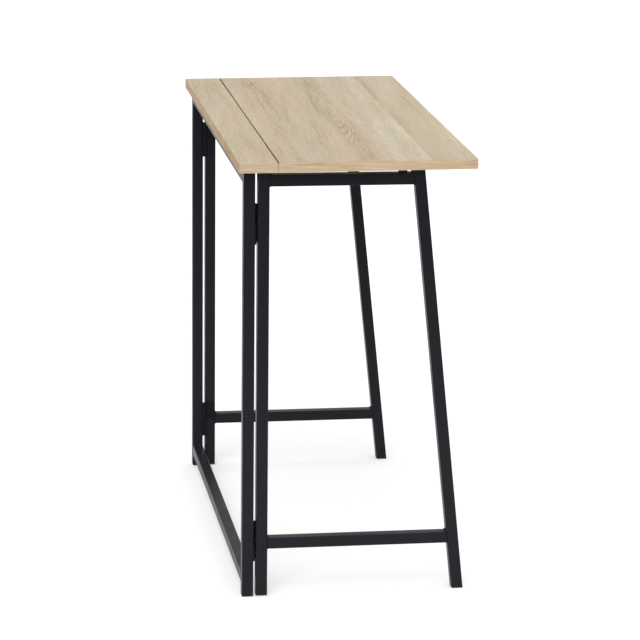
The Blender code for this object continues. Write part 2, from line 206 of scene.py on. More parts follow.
def coat_finish(name, black, thin_coat, lit_low):
    """Matt black powder coat, in its full and thin colours, painted paler towards the floor as painted light.
    """
    finish, tree, shader = new_finish(name)
    patches = grained(
        tree, shader, grain=0.0007, patch=0.06, depth=0.00008, strength=0.35, smoothest=0.28, dullest=0.36)
    edge = add(tree, "ShaderNodeAttribute", attribute_name="edge").outputs["Fac"]
    worn = add(
        tree, "ShaderNodeGroup", {"Edge": edge, "Amount": THIN_EDGES, "Size": THIN_EDGE_SIZE},
        node_tree=edge_wear).outputs["Worn"]
    thin = calc(tree, "ADD", worn, spread(tree, patches, 0.4, 0.8, 0.0, THIN_PATCHES))
    # Painted light: the coat is mixed towards a paler colour lower down.
    painted_lightening = add(tree, "ShaderNodeGroup", {"Top": PAINTED_LIGHT_TOP, "Full": PAINTED_LIGHT_FULL}, node_tree=painted_floor_light)
    coat = mixed(tree, painted_lightening.outputs["Painted_light"], mixed(tree, thin, black, thin_coat), lit_low)
    tree.links.new(coat, shader.inputs["Base Color"])
    shader.inputs["Specular IOR Level"].default_value = COAT_SHEEN
    return finish


black_coat = coat_finish("black_powder_coat", COAT_BLACK, COAT_THIN, COAT_LIT_LOW)


def show(name, mesh):
    """An object for a mesh, smooth on its round places and flat on its flat ones."""
    mesh.shade_smooth()
    mesh.set_sharp_from_angle(angle=SHARP_FROM)
    piece = bpy.data.objects.new(name, mesh)
    bpy.context.scene.collection.objects.link(piece)
    piece.modifiers.new("flat_faces", "WEIGHTED_NORMAL").keep_sharp = True
    return piece


def skin(name, rows, ring=False):
    """Joins rows of points into one closed body. A ring goes from its last row back to its first."""
    shape = bmesh.new()
    layers = [[shape.verts.new(point) for point in row] for row in rows]
    pairs = list(zip(layers, layers[1:]))
    if ring:
        pairs.append((layers[-1], layers[0]))
    else:
        shape.faces.new(layers[0])
        shape.faces.new(layers[-1])
    for lower, upper in pairs:
        for index, corner in enumerate(lower):
            following = (index + 1) % len(lower)
            shape.faces.new((corner, lower[following], upper[following], upper[index]))
    bmesh.ops.remove_doubles(shape, verts=shape.verts, dist=MERGE_WITHIN)
    bmesh.ops.recalc_face_normals(shape, faces=shape.faces)
    mesh = bpy.data.meshes.new(name)
    shape.to_mesh(mesh)
    shape.free()
    return mesh


def outline(width, depth, corner):
    """A rectangle with round corners about the origin."""
    points = []
    for quarter, (side_x, side_y) in enumerate(((1, 1), (-1, 1), (-1, -1), (1, -1))):
        for step in range(CORNER_STEPS + 1):
            angle = math.pi / 2 * (quarter + step / CORNER_STEPS)
            points.append((
                side_x * (width / 2 - corner) + corner * math.cos(angle),
                side_y * (depth / 2 - corner) + corner * math.sin(angle)))
    return points


def tube(name, start, end, side, across, start_cut=None, end_cut=None):
    """A square tube with open ends. The cuts are the directions that its sawn ends face along. Each point
    of the outside has an edge value, from 0 on the flat sides to 1 in the middle of a round corner."""
    along = (end - start).normalized()
    other = along.cross(across)
    inside = side - 2 * TUBE_WALL
    inner_corner = TUBE_CORNER - TUBE_WALL
    sawn = side - 2 * SAWN_EDGE
    sections = (
        (start, start_cut, sawn, TUBE_CORNER - SAWN_EDGE, 0.0),
        (start, start_cut, side, TUBE_CORNER, SAWN_EDGE),
        (end, end_cut, side, TUBE_CORNER, -SAWN_EDGE),
        (end, end_cut, sawn, TUBE_CORNER - SAWN_EDGE, 0.0),
        (end, end_cut, inside, inner_corner, 0.0),
        (start, start_cut, inside, inner_corner, 0.0))
    rows = []
    for centre, cut, width, corner, inward in sections:
        facing = cut or along
        row = []
        for u, v in outline(width, width, corner):
            offset = across * u + other * v
            row.append(centre + offset + along * (inward - offset.dot(facing) / along.dot(facing)))
        rows.append(row)
    mesh = skin(name, rows, ring=True)
    outer_row = [math.sin(math.pi * step / CORNER_STEPS) for step in range(CORNER_STEPS + 1)] * 4
    inner_row = [0.0] * len(outer_row)
    edge = mesh.attributes.new("edge", "FLOAT", "POINT")
    edge.data.foreach_set("value", outer_row * 4 + inner_row * 2)
    return show(name, mesh)


def stand_for(piece, node, finish):
    """Gives a piece its finish, and puts it in place of a CAD node, on the body that the node moves with."""
    piece.data.materials.append(finish)
    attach(piece, frame["nodes"][node]["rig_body"])
    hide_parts(node)


def straight_tube(node, along, across):
    """A tube for a CAD node that runs straight along one direction."""
    low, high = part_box(node)
    middle = (low + high) / 2
    half = along * (high - low).dot(along) / 2
    side = (high - low).dot(across)
    piece = tube(f"{node}_tube", middle - half, middle + half, side, across)
    stand_for(piece, node, black_coat)


for side in ("left", "right"):
    straight_tube(f"rear_upright_{side}", UP, ACROSS)
for rail in ("rear_top_rail", "rear_bottom_rail"):
    straight_tube(rail, ACROSS, REARWARD)


# Gates: on each side an upright that hangs on the hinges, a leg that leans forward at its foot, and a rail
# and a stretcher between them. They are the same coated tube. The two bars fall a little to the front and are
# sawn to the leg's slope there.
END_WITHIN = 0.00001


def end_middle(node, level):
    """The middle of the flat end that a CAD node has at a level."""
    low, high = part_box(node)
    depths = [v.co.y for v in frame["nodes"][node].data.vertices if abs(v.co.z - level) < END_WITHIN]
    return Vector(((low.x + high.x) / 2, (min(depths) + max(depths)) / 2, level))


leg_line = {}
for side in ("left", "right"):
    straight_tube(f"gate_{side}_upright", UP, ACROSS)

    leg = f"gate_{side}_leg"
    low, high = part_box(leg)
    foot, head = end_middle(leg, low.z), end_middle(leg, high.z)
    lean = (head - foot).normalized()
    leg_line[side] = (foot, lean)
    piece = tube(f"{leg}_tube", foot, head, high.x - low.x, ACROSS, UP, UP)
    stand_for(piece, leg, black_coat)

    for bar in ("rail", "stretcher"):
        node = f"gate_{side}_{bar}"
        low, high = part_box(node)
        width = high.x - low.x
        front = Vector(((low.x + high.x) / 2, low.y + width / 2 * lean.y / lean.z, low.z + width / 2))
        rear = Vector((front.x, high.y, high.z - width / 2))
        piece = tube(f"{node}_tube", rear, front, width, ACROSS, REARWARD, Vector((0, lean.z, -lean.y)))
        stand_for(piece, node, black_coat)


# Welds: a short fillet above and a smaller one below each butt joint, laid by hand before coating, so they
# have the coat's black and a row of low ripples. On the flush sides the weld is ground flat, and only a fine
# line is left.
WELD_LEG = 0.0034
WELD_LEG_BELOW = 0.0022
WELD_LENGTH = 0.0160
WELD_STEPS = 56
WELD_FACETS = 6
WELD_SINK = 0.0001
WELD_CROWN = 1.12
WELD_END = 0.25
WELD_TAPER = 5
WELD_RIPPLES = 7
WELD_RIPPLE_START = 0.4
WELD_VALLEY = 0.90
WELD_RIPPLE = 0.12
WELD_UNEVEN = 0.05
WELD_WANDER = 9


def weld(corner, run, along_bar, along_post):
    """The rows of a fillet weld centred on a corner: it runs along run and has a leg on each of the tubes."""
    rows = []
    leg = WELD_LEG if along_post.z > 0 else WELD_LEG_BELOW
    for step in range(WELD_STEPS + 1):
        share = step / WELD_STEPS
        ends = min(1.0, WELD_TAPER * share + WELD_END, WELD_TAPER * (1 - share) + WELD_END)
        ripple = abs(math.sin(math.pi * WELD_RIPPLES * share + WELD_RIPPLE_START))
        size = leg * math.sqrt(ends) * (
            WELD_VALLEY + WELD_RIPPLE * ripple + WELD_UNEVEN * math.sin(WELD_WANDER * share))
        centre = corner + run * WELD_LENGTH * (share - 0.5)
        row = [centre - (along_bar + along_post) * WELD_SINK]
        for facet in range(WELD_FACETS + 1):
            angle = math.pi / 2 * facet / WELD_FACETS
            flat = size / (math.cos(angle) + math.sin(angle))
            reach = flat * (1 + (WELD_CROWN - 1) * math.sin(2 * angle))
            on_bar = reach * math.cos(angle) - (WELD_SINK if facet == WELD_FACETS else 0)
            on_post = reach * math.sin(angle) - (WELD_SINK if facet == 0 else 0)
            row.append(centre + along_bar * on_bar + along_post * on_post)
        rows.append(row)
    return rows


def weld_joint(name, body, beads):
    """The fillets of one joint as a piece of its own."""
    meshes = [skin(name, weld(*bead)) for bead in beads]
    shape = bmesh.new()
    for mesh in meshes:
        shape.from_mesh(mesh)
    shape.to_mesh(meshes[0])
    shape.free()
    piece = show(name, meshes[0])
    piece.data.materials.append(black_coat)
    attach(piece, body)


for rail in ("rear_top_rail", "rear_bottom_rail"):
    rail_low, rail_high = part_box(rail)
    for side, sign in (("left", -1), ("right", 1)):
        post_low, post_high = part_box(f"rear_upright_{side}")
        face = post_high.x if sign < 0 else post_low.x
        inward = -sign * ACROSS
        middle_y = (rail_low.y + rail_high.y) / 2
        weld_joint(f"{rail}_weld_{side}", "rear_frame", (
            (Vector((face, middle_y, rail_high.z)), REARWARD, inward, UP),
            (Vector((face, middle_y, rail_low.z)), REARWARD, inward, -UP)))

for side in ("left", "right"):
    foot, lean = leg_line[side]
    post_low, post_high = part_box(f"gate_{side}_upright")
    leg_reach = (post_high.x - post_low.x) / 2 / lean.z
    for bar in ("rail", "stretcher"):
        bar_low, bar_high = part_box(f"gate_{side}_{bar}")
        rear_beads, front_beads = [], []
        width = bar_high.x - bar_low.x
        for rear_level, front_level, upward in (
                (bar_high.z, bar_low.z + width, 1), (bar_high.z - width, bar_low.z, -1)):
            rear_corner = Vector((foot.x, post_low.y, rear_level))
            rear_beads.append((rear_corner, ACROSS, -REARWARD, upward * UP))
            leg_y = foot.y + (front_level - foot.z) * lean.y / lean.z + leg_reach
            front_beads.append((Vector((foot.x, leg_y, front_level)), ACROSS, REARWARD, upward * lean))
        weld_joint(f"gate_{side}_{bar}_weld_rear", f"gate_{side}", rear_beads)
        weld_joint(f"gate_{side}_{bar}_weld_front", f"gate_{side}", front_beads)


# Foot caps and top plugs: moulded black plastic, pushed into the tube ends. A flange covers the tube's end,
# ribs on the stem grip its inside, and a foot cap has a shallow hollow underneath. The faces are finely
# sparked, and scuffed in places.
CAP_ROUND = 0.0009
CAP_TOP_EDGE = 0.0002
CAP_STEM_SIDE = 0.0160
CAP_STEM_CORNER = 0.0007
CAP_STEM = 0.012
CAP_RIB = 0.0005
CAP_RIBS = 3
CAP_RIB_FOOT = 0.25
CAP_RIB_CREST = 0.40
CAP_HOLLOW = 0.0006
CAP_HOLLOW_SIDE = 0.010
FOOT_FLANGE = 0.003
PLUG_FLANGE = 0.002
PLASTIC_BLACK = (0.011, 0.011, 0.012, 1)
PLASTIC_SCUFFED = (0.045, 0.045, 0.045, 1)
PLASTIC_SCUFFS = 0.45
PLASTIC_SHEEN = 0.30

black_plastic, tree, shader = new_finish("black_plastic")
patches = grained(
    tree, shader, grain=0.0004, patch=0.012, depth=0.00005, strength=0.4, smoothest=0.46, dullest=0.62)
scuffs = spread(tree, patches, 0.50, 0.80, 0.0, PLASTIC_SCUFFS)
tree.links.new(mixed(tree, scuffs, PLASTIC_BLACK, PLASTIC_SCUFFED), shader.inputs["Base Color"])
shader.inputs["Specular IOR Level"].default_value = PLASTIC_SHEEN


def quarter_round(radius, steps=4):
    """Points of a round edge from a face to a side: how far each is in from the side, and off the face."""
    turns = [math.pi / 2 * step / steps for step in range(steps + 1)]
    return [(radius * (1 - math.sin(turn)), radius * (1 - math.cos(turn))) for turn in turns]


def cap_rows(side, flange, hollow):
    """Rows of a cap from its outer face up: face, round edge, flange, then a stem with ribs."""
    rows = []
    if hollow:
        rows.append((CAP_HOLLOW_SIDE - 2 * CAP_HOLLOW, TUBE_CORNER - CAP_HOLLOW, CAP_HOLLOW))
        rows.append((CAP_HOLLOW_SIDE, TUBE_CORNER, 0.0))
    for inset, rise in quarter_round(CAP_ROUND):
        rows.append((side - 2 * inset, TUBE_CORNER - inset, rise))
    rows.append((side, TUBE_CORNER, flange - CAP_TOP_EDGE))
    rows.append((side - 2 * CAP_TOP_EDGE, TUBE_CORNER - CAP_TOP_EDGE, flange))
    valley = CAP_STEM_SIDE - 2 * CAP_RIB
    rows.append((valley, CAP_STEM_CORNER, flange))
    pitch = CAP_STEM / CAP_RIBS
    for rib in range(CAP_RIBS):
        base = flange + rib * pitch
        rows.append((valley, CAP_STEM_CORNER, base + CAP_RIB_FOOT * pitch))
        rows.append((CAP_STEM_SIDE, CAP_STEM_CORNER, base + CAP_RIB_CREST * pitch))
        rows.append((valley, CAP_STEM_CORNER, base + pitch))
    return rows


def cap(node, flange, upside_down, slope=0.0):
    """A cap at a tube's foot or a plug at its top, sheared to the slope of a leaning leg."""
    low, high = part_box(node)
    face = end_middle(node, high.z if upside_down else low.z)
    inward = -1 if upside_down else 1
    stretch = math.sqrt(1 + slope * slope)
    rows = []
    for width, corner, depth in cap_rows(high.x - low.x, flange, not upside_down):
        rise = inward * depth
        rows.append([
            (face.x + u, face.y + v * stretch + rise * slope, face.z + rise)
            for u, v in outline(width, width, corner)])
    kind = "plug" if upside_down else "foot"
    piece = show(f"{node}_{kind}", skin(node, rows))
    stand_for(piece, node, black_plastic)


for side in ("left", "right"):
    lean = leg_line[side][1]
    slope = lean.y / lean.z
    cap(f"rear_foot_cap_{side}", FOOT_FLANGE, False)
    cap(f"gate_{side}_upright_foot_cap", FOOT_FLANGE, False)
    cap(f"gate_{side}_upright_top_plug", PLUG_FLANGE, True)
    cap(f"gate_{side}_leg_foot_cap", FOOT_FLANGE, False, slope)
    cap(f"gate_{side}_leg_top_plug", PLUG_FLANGE, True, slope)


# Flag hinges: two on each side. Each half is a strip of plate with its end rolled round the pin, welded to
# its tube and coated black, painted darker than the tubes as painted shade for the shadow in the gap between
# the uprights. The pin is zinc plated steel, with a collar that carries the gate and took that darker coat
# too.
HINGE_ROLL = 0.0035
HINGE_BORE = 0.0023
HINGE_PLATE = 0.0020
HINGE_SEAT = 0.0003
HINGE_EDGE = 0.00025
HINGE_EDGE_FROM = math.radians(50)
FRAME_ROLL_GAP = 16
GATE_ROLL_GAP = 12
# The hinge coat's colours: the tube coat's, darkened as painted shade for the gap between the uprights.
HINGE_SHADED_BLACK = (0.0062, 0.0070, 0.0090, 1)
HINGE_SHADED_THIN = (0.0115, 0.0125, 0.0155, 1)
HINGE_SHADED_LIT_LOW = (0.0110, 0.0122, 0.0152, 1)
PIN_RADIUS = 0.0020
PIN_DOME = 0.0005
PIN_SHORT = 0.0004
CROWN_WIDTH = 0.6
CROWN_RISE = 0.2
COLLAR = 0.0010
COLLAR_EDGE = 0.0002
ROUND_STEPS = 48
ROLL_STEPS = 36
ZINC_PALE = (0.42, 0.43, 0.45, 1)
ZINC_DULL = (0.24, 0.24, 0.25, 1)

shaded_hinge_coat = coat_finish("black_hinge_coat", HINGE_SHADED_BLACK, HINGE_SHADED_THIN, HINGE_SHADED_LIT_LOW)

zinc_steel, tree, shader = new_finish("zinc_plated_steel")
patches = grained(
    tree, shader, grain=0.0005, patch=0.004, depth=0.00003, strength=0.2, smoothest=0.26, dullest=0.42)
dull = spread(tree, patches, 0.35, 0.70)
tree.links.new(mixed(tree, dull, ZINC_PALE, ZINC_DULL), shader.inputs["Base Color"])
shader.inputs["Metallic"].default_value = 1.0


def upright_axis(low, high):
    """The place of the upright line through the middle of a box."""
    return Vector(((low.x + high.x) / 2, (low.y + high.y) / 2, 0))


def arc(radius, start, end, steps):
    """Points on a circle about the origin from one angle to another, in degrees."""
    angles = [math.radians(start + (end - start) * step / steps) for step in range(steps + 1)]
    return [(radius * math.cos(angle), radius * math.sin(angle)) for angle in angles]


def rolled_plate(roll, bore, near, far, reach, gap):
    """A plate's section, drawn with the pin at the origin. The plate lies between the heights near and far,
    runs out to reach, and its other end is rolled round the pin and stops gap degrees short of itself."""
    start = math.degrees(math.asin(min(1.0, far / roll)))
    stop = 360 + math.degrees(math.asin(near / roll)) - gap
    lip = math.degrees(math.asin(near / bore))
    points = [(reach, near), (reach, far)]
    return points + arc(roll, start, stop, ROLL_STEPS) + arc(bore, stop, lip, ROLL_STEPS)


def turned(name, profile, ring=False):
    """A profile of (radius, height) points turned about the upright axis."""
    angles = [2 * math.pi * step / ROUND_STEPS for step in range(ROUND_STEPS)]
    return skin(name, [
        [(radius * math.cos(angle), radius * math.sin(angle), height) for angle in angles]
        for radius, height in profile], ring)


def hinge_half(node, axis, facing, near, far, reach, gap):
    """Draws a rolled plate's section out over the height of a hinge half. facing turns it to its tube."""
    low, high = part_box(node)
    flat_section = rolled_plate(HINGE_ROLL, HINGE_BORE, near, far, reach, gap)
    section = [facing @ Vector((x, y, 0)) for x, y in flat_section]
    rows = [[axis + Vector((point.x, point.y, level)) for point in section] for level in (low.z, high.z)]
    piece = show(f"{node}_plate", skin(node, rows))
    rounding = piece.modifiers.new("broken_edges", "BEVEL")
    rounding.width = HINGE_EDGE
    rounding.segments = 2
    rounding.limit_method = "ANGLE"
    rounding.angle_limit = HINGE_EDGE_FROM
    piece.modifiers.move(len(piece.modifiers) - 1, 0)
    stand_for(piece, node, shaded_hinge_coat)


quarter_turn = Matrix(((0, 1, 0), (-1, 0, 0), (0, 0, 1)))
for side, sign in (("left", -1), ("right", 1)):
    outward = Matrix.Diagonal((sign, 1, 1))
    post_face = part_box(f"rear_upright_{side}")[0].y
    for level in ("lower", "upper"):
        name = f"gate_hinge_{side}_{level}"
        pin_low, pin_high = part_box(f"{name}_pin")
        axis = upright_axis(pin_low, pin_high)

        half = f"{name}_frame_half"
        low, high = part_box(half)
        reach = max(abs(low.x - axis.x), abs(high.x - axis.x))
        far = post_face - HINGE_SEAT - axis.y
        hinge_half(half, axis, outward, far - HINGE_PLATE, far, reach, FRAME_ROLL_GAP)

        half = f"{name}_gate_half"
        reach = axis.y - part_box(half)[0].y
        far = HINGE_ROLL
        hinge_half(half, axis, outward @ quarter_turn, far - HINGE_PLATE, far, reach, GATE_ROLL_GAP)

        collar_radius = (pin_high.x - pin_low.x) / 2
        middle = (pin_low.z + pin_high.z) / 2
        under, over = middle - COLLAR / 2, middle + COLLAR / 2
        bottom, top = pin_low.z + PIN_SHORT, pin_high.z - PIN_SHORT
        crown, rise = PIN_RADIUS * CROWN_WIDTH, PIN_DOME * CROWN_RISE
        pin = show(f"{name}_pin_turned", turned(name, (
            (0, bottom), (crown, bottom + rise), (PIN_RADIUS, bottom + PIN_DOME),
            (PIN_RADIUS, under), (collar_radius - COLLAR_EDGE, under), (collar_radius, under + COLLAR_EDGE),
            (collar_radius, over - COLLAR_EDGE), (collar_radius - COLLAR_EDGE, over), (PIN_RADIUS, over),
            (PIN_RADIUS, top - PIN_DOME), (crown, top - rise), (0, top))))
        pin.data.transform(Matrix.Translation(axis))
        stand_for(pin, f"{name}_pin", zinc_steel)
        pin.data.materials.append(shaded_hinge_coat)
        for face in pin.data.polygons:
            face.material_index = int(abs(face.center.z - middle) < COLLAR)


# Bumpers: a round rubber pad on each gate's top rail, with a stem pushed into a hole in the tube. The leaf
# rests on them. They are soft matt black, with a bloom of grey where the rubber is touched.
BUMPER_ROUND = 0.0012
BUMPER_EDGE = 0.0003
BUMPER_DISH = 0.0003
DISH_RIM = 0.55
DISH_FLOOR = 0.45
STEM_RADIUS = 0.0025
STEM_LENGTH = 0.006
STEM_EDGE = 0.0004
RUBBER_BLACK = (0.010, 0.010, 0.010, 1)
RUBBER_BLOOM = (0.035, 0.035, 0.036, 1)
RUBBER_SHEEN = 0.25

black_rubber, tree, shader = new_finish("black_rubber")
patches = grained(
    tree, shader, grain=0.0003, patch=0.005, depth=0.00005, strength=0.3, smoothest=0.72, dullest=0.88)
bloom = spread(tree, patches, 0.40, 0.75)
tree.links.new(mixed(tree, bloom, RUBBER_BLACK, RUBBER_BLOOM), shader.inputs["Base Color"])
shader.inputs["Specular IOR Level"].default_value = RUBBER_SHEEN

for side in ("left", "right"):
    node = f"gate_{side}_bumper"
    low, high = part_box(node)
    radius = (high.x - low.x) / 2
    base = low.z + STEM_LENGTH
    profile = [
        (0, low.z), (STEM_RADIUS - STEM_EDGE, low.z), (STEM_RADIUS, low.z + STEM_EDGE), (STEM_RADIUS, base),
        (radius - BUMPER_EDGE, base), (radius, base + BUMPER_EDGE)]
    profile += [(radius - inset, high.z - drop) for inset, drop in reversed(quarter_round(BUMPER_ROUND))]
    dish = high.z - BUMPER_DISH
    profile += [(radius * DISH_RIM, high.z), (radius * DISH_FLOOR, dish), (0, dish)]
    pad = show(f"{node}_pad", turned(node, profile))
    pad.data.transform(Matrix.Translation(upright_axis(low, high)))
    stand_for(pad, node, black_rubber)


# Tabletop: a narrow fixed strip and a wide leaf of faced chipboard. The faces are a pale oak laminate,
# printed as joined staves with their grain along the desk, and the edges are a warmer band with fine streaks.
# The seam faces lean together at the underside, and their top edges carry painted shade: a dark brown for the
# shadow in the seam, with lighter streaks, fading to the oak's colour along the top in the middle.
UPPER_ROUND = 0.0008
LOWER_ROUND = 0.0003
BOARD_CORNER = 0.0010
SEAM_CORNER = 0.0002
SEAM_LEAN = 0.00040
SEAM_MIDDLE = 0.1315
SEAM_SHADE_FADE = (0.22, 0.34)
SEAM_SHADE_FADE_DEPTH = (0.00009, 0.00005)
FLAT_FACE = 0.999
JOINT_LINE = (0.0008, 0.0030)
JOINT_LOST = 0.030
JOINT_CLEAR = 0.0004
STAVE_JOINTS = ((-0.122, -0.90, -0.30), (-0.0365, -0.05, 0.13), (0.089, -0.15, 0.0))
OAK_DARK = (0.302, 0.211, 0.112, 1)
OAK_MIDDLE = (0.470, 0.375, 0.240, 1)
OAK_LIGHT = (0.612, 0.538, 0.396, 1)
OAK_GREYED = (0.968, 1.006, 1.052, 1)
OAK_WARMED = (1.030, 0.985, 0.928, 1)
OAK_PORE = (0.300, 0.212, 0.128, 1)
BAND_DARK = (0.400, 0.275, 0.165, 1)
BAND_MIDDLE = (0.580, 0.436, 0.290, 1)
BAND_LIGHT = (0.700, 0.560, 0.420, 1)
GOLDEN_NEAR = (0.90, 0.90, 0.77, 1)
GOLDEN_FAR = (0.95, 0.99, 0.97, 1)
SEAM_SHADE_BROWN = (0.058, 0.027, 0.009, 1)
SEAM_SHADE_STREAK = (0.120, 0.062, 0.026, 1)
SEAM_SHEEN = 0.02
BAND_SHEEN = 0.10
OAK_TONE = 0.512
STAVE_SEED = 3.7
WANDER_SIZE = (0.30, 0.060)
WAVER_SIZE = (0.09, 0.020)
GRAIN_SLANT = 0.050
GRAIN_WANDER = 0.030
GRAIN_WAVER = 0.006
LINE_DARKEST = 0.93
LINE_BREAK = 0.94
RING_SPACING = 0.0056
FLAME_MIDDLE = -0.0206
FLAME_SLANT = 0.04
FLAME_WAVER = 0.008
FLAME_SHARP = 420.0
FLAME_SPACING = 0.052
EYE_BULGE = 0.010
EYE_SIDE = 0.066
EYE_END = 0.262
EYE_WAVER = 0.006
EYE_WANDER = 0.080
EYE_TIGHT_ACROSS = 55.0
EYE_TIGHT_ALONG = 11.0
EYE_SPACING = 0.27
STAVE_TONES = (
    (0.00, 0.54), (0.12, 0.52), (0.18, 0.455), (0.20, 0.575), (0.36, 0.55), (0.44, 0.46), (0.62, 0.52),
    (0.74, 0.47), (1.00, 0.50))

# wood_streaks is the tone of wood fibres that run along one way: streaks of a length and width, for a seed.
wood_streaks, given, made = new_group(
    "wood_streaks", {"Along": 0.0, "Across": 0.0, "Length": 0.1, "Width": 0.005, "Seed": 0.0}, ("Tone",))
stretched = add(wood_streaks, "ShaderNodeCombineXYZ", {
    "X": calc(wood_streaks, "DIVIDE", given["Along"], given["Length"]),
    "Y": calc(wood_streaks, "DIVIDE", given["Across"], given["Width"]),
    "Z": given["Seed"]})
fibres = add(wood_streaks, "ShaderNodeTexNoise", {
    "Vector": stretched.outputs[0], "Scale": 1.0, "Detail": 2.0})
wood_streaks.links.new(fibres.outputs[0], made["Tone"])


def streaks(tree, along, across, length, width, seed):
    """The tone of fibres from wood_streaks, about 0.5 in the mean."""
    return add(tree, "ShaderNodeGroup", {
        "Along": along, "Across": across, "Length": length, "Width": width, "Seed": seed},
        node_tree=wood_streaks).outputs["Tone"]


def ramp(tree, value, stops):
    """Colours along a value from 0 to 1, smoothly joined."""
    node = add(tree, "ShaderNodeValToRGB", {"Fac": value})
    node.color_ramp.interpolation = "EASE"
    while len(node.color_ramp.elements) < len(stops):
        node.color_ramp.elements.new(0.5)
    for element, (position, colour) in zip(node.color_ramp.elements, stops):
        element.position = position
        element.color = colour
    return node.outputs["Color"]


oak_face, tree, shader = new_finish("oak_laminate")
parts = coordinates(tree)
along, across = parts["X"], parts["Y"]


def stave_edge(at, lost_at, clear_at):
    """0 in front of a joint between staves and 1 behind it. The joint is clear at clear_at along the desk,
    and fades out towards lost_at."""
    blur = spread(tree, along, lost_at, clear_at, JOINT_LOST, JOINT_CLEAR)
    front, behind = calc(tree, "SUBTRACT", at, blur), calc(tree, "ADD", at, blur)
    return spread(tree, across, front, behind, smooth=True)


def times(first, second):
    """The product of two values, in the tabletop's material that is being made."""
    return calc(tree, "MULTIPLY", first, second)


def plus(*values):
    """The sum of some values, in the tabletop's material that is being made."""
    total = values[0]
    for value in values[1:]:
        total = calc(tree, "ADD", total, value)
    return total


def zone(x, y, length, depth):
    """1 at a place on the desk, falling to 0 beyond a length along the grain and a depth across it."""
    far_x = calc(tree, "DIVIDE", calc(tree, "SUBTRACT", along, x), length)
    far_y = calc(tree, "DIVIDE", calc(tree, "SUBTRACT", across, y), depth)
    return calc(tree, "EXPONENT", times(plus(times(far_x, far_x), times(far_y, far_y)), -1.0))


def uneven(length, width, lines_across):
    """The tone of streaks of a length and width, from about -0.5 to 0.5."""
    return plus(streaks(tree, along, lines_across, length, width, seed), -0.5)


def fine_lines(value, spacing, start):
    """Dark lines that come up slowly and end sharply, one for each step of a value."""
    step = calc(tree, "FRACT", calc(tree, "DIVIDE", value, spacing))
    return times(spread(tree, step, start, LINE_DARKEST, smooth=True), spread(tree, step, 1.0, LINE_BREAK))


stave, joint = 0.0, 0.0
for at, lost_at, clear_at in STAVE_JOINTS:
    stave = plus(stave, stave_edge(at, lost_at, clear_at))
    off_joint = calc(tree, "ABSOLUTE", calc(tree, "SUBTRACT", across, at))
    shown = spread(tree, along, lost_at, clear_at)
    joint = plus(joint, times(spread(tree, off_joint, *JOINT_LINE, 1.0, 0.0), shown))
stave = plus(stave, stave_edge(SEAM_MIDDLE, -0.90, -0.89))
seed = times(stave, STAVE_SEED)

wander, waver = uneven(*WANDER_SIZE, across), uneven(*WAVER_SIZE, across)
eye = zone(0.312, 0.078, 0.034, 0.0095)
lines = plus(
    across, times(along, GRAIN_SLANT), times(wander, GRAIN_WANDER), times(waver, GRAIN_WAVER),
    times(eye, EYE_BULGE))
tone = OAK_TONE
warmth = plus(0.5, times(uneven(0.32, 0.030, lines), 1.08), times(uneven(0.12, 0.0060, lines), 0.20))
for length, width, lighter, warmer in (
        (0.36, 0.034, 0.41, -0.16), (0.18, 0.0140, 0.28, -0.48), (0.075, 0.0036, 0.13, -0.06),
        (0.036, 0.0012, 0.48, 0.03)):
    streak = uneven(length, width, lines)
    tone = plus(tone, times(streak, lighter))
    warmth = plus(warmth, times(streak, warmer))

# The straight lines of the year rings come and go in patches, and the flame is a row of pointed rings.
ring_lines = fine_lines(lines, RING_SPACING, 0.40)
ring_patches = spread(tree, streaks(tree, along, lines, 0.20, 0.014, 5.0), 0.38, 0.62)
off_flame = plus(across, -FLAME_MIDDLE, times(along, FLAME_SLANT), times(waver, FLAME_WAVER))
flame_sides = times(times(off_flame, off_flame), -FLAME_SHARP)
flame_uneven = plus(times(wander, 0.06), times(waver, 0.02))
flame_lines = fine_lines(plus(along, flame_sides, flame_uneven), FLAME_SPACING, 0.42)

# The eye is a small knot towards the right end, with rings that turn round it.
off_side = plus(across, -EYE_SIDE, times(waver, EYE_WAVER))
off_end = plus(along, -EYE_END, times(wander, EYE_WANDER))
past_side = calc(tree, "MAXIMUM", times(off_side, EYE_TIGHT_ACROSS), 0.0)
past_end = calc(tree, "MAXIMUM", times(off_end, EYE_TIGHT_ALONG), 0.0)
eye_turn = calc(tree, "SQRT", plus(times(past_side, past_side), times(past_end, past_end)))
eye_lines = fine_lines(plus(eye_turn, times(waver, 0.25)), EYE_SPACING, 0.35)
eye_place = plus(zone(0.315, 0.076, 0.055, 0.013), times(zone(0.15, 0.077, 0.17, 0.009), 0.8))

# Each figure of the print, with how much lighter and warmer it makes the oak.
broken = spread(tree, streaks(tree, along, across, 0.05, 0.020, 8.0), 0.35, 0.60)
for figure, lighter, warmer in (
        (times(ring_lines, ring_patches), -0.11, 0.25),
        (times(flame_lines, zone(-0.145, -0.026, 0.115, 0.018)), -0.27, 0.6),
        (times(eye_lines, eye_place), -0.33, 0.2),
        (zone(0.325, 0.081, 0.022, 0.0040), -0.20, 0.2),
        (zone(0.22, 0.045, 0.15, 0.022), -0.05, 0.35),
        (times(joint, broken), -0.12, 0.6),
        (zone(0.245, 0.118, 0.010, 0.0028), -0.12, 0.2),
        (zone(-0.27, -0.085, 0.22, 0.035), 0.03, -0.35),
        (zone(-0.33, -0.015, 0.13, 0.025), -0.05, 0.5),
        (zone(0.33, -0.155, 0.10, 0.016), 0.06, -0.4),
        (zone(0.36, -0.085, 0.09, 0.030), -0.05, -0.4),
        (zone(-0.30, 0.070, 0.13, 0.012), 0.05, -0.2),
        (zone(-0.33, 0.112, 0.12, 0.009), -0.06, 0.5)):
    tone = plus(tone, times(figure, lighter))
    warmth = plus(warmth, times(figure, warmer))

